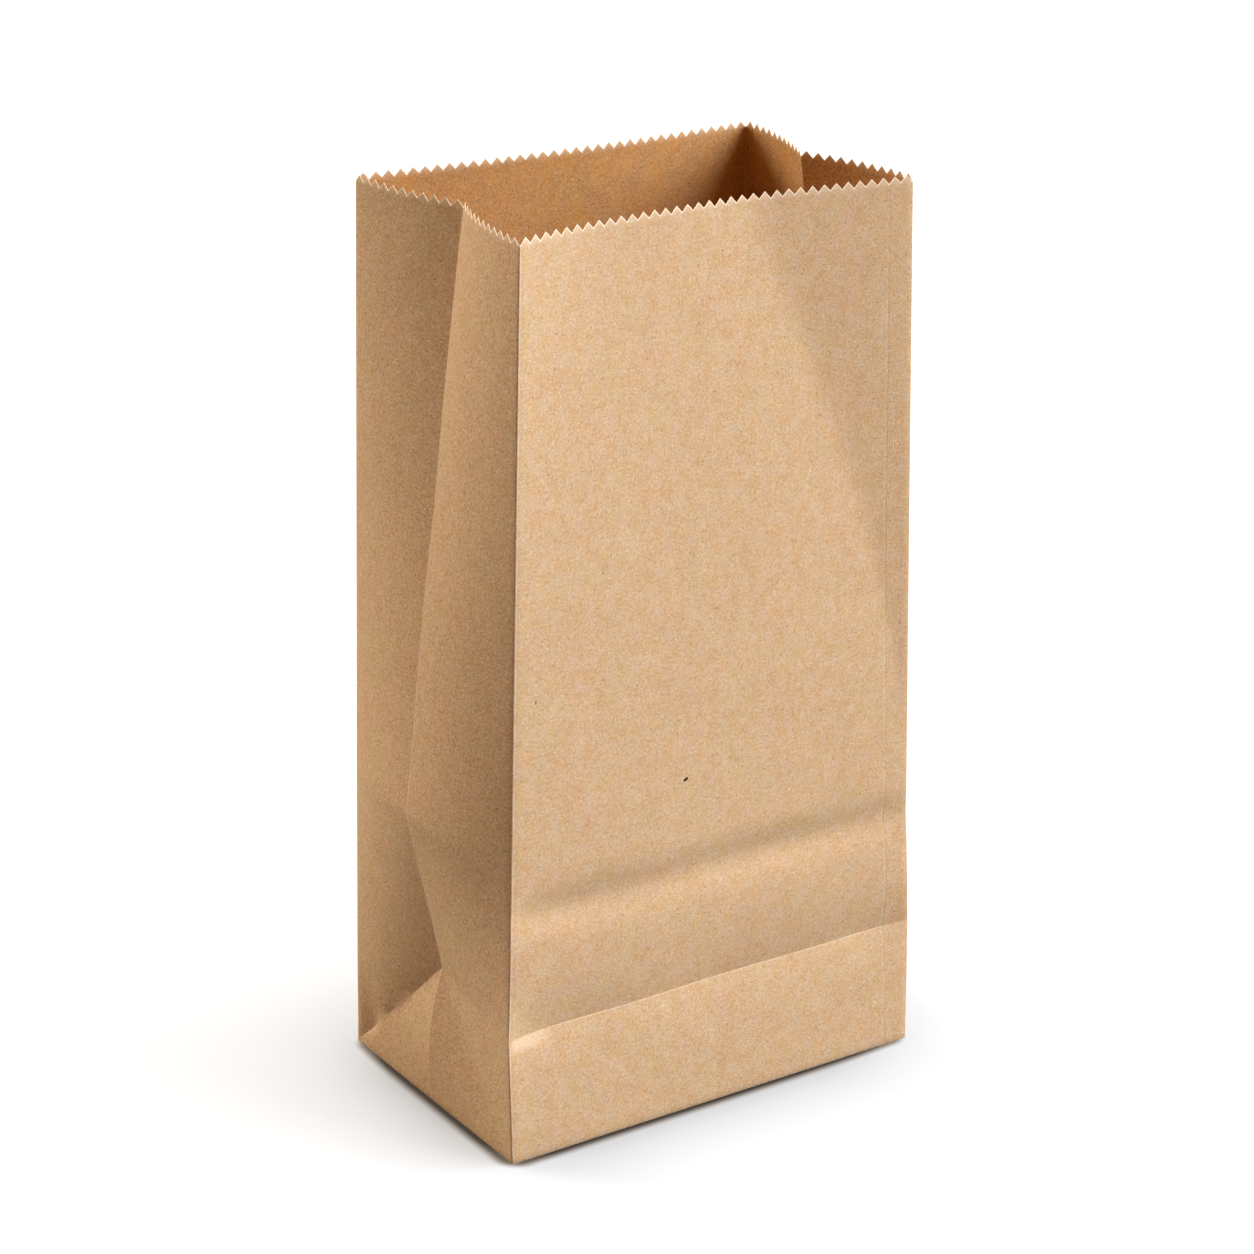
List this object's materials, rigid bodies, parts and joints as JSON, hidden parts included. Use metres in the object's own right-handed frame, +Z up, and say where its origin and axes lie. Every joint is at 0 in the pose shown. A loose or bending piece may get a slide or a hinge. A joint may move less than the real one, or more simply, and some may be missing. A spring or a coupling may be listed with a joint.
{
  "type": "paper bag",
  "caption": "Self-opening kraft paper bag standing open, with gusseted sides, a folded bottom and a serrated rim.",
  "frame": {"origin": "middle of the base, on the surface that the bag stands on", "axes": "+Z up out of the mouth, -Y out of the wide front panel with the glued lap, +X along the width"},
  "size_m": [0.1976, 0.1141, 0.342],
  "materials": {
    "kraft_paper": "unbleached brown kraft paper, matt, uncoated, with fine fibres and light cut edges"
  },
  "bodies": {
    "root": {"paper_bag": "kraft_paper"}
  },
  "joints": []
}
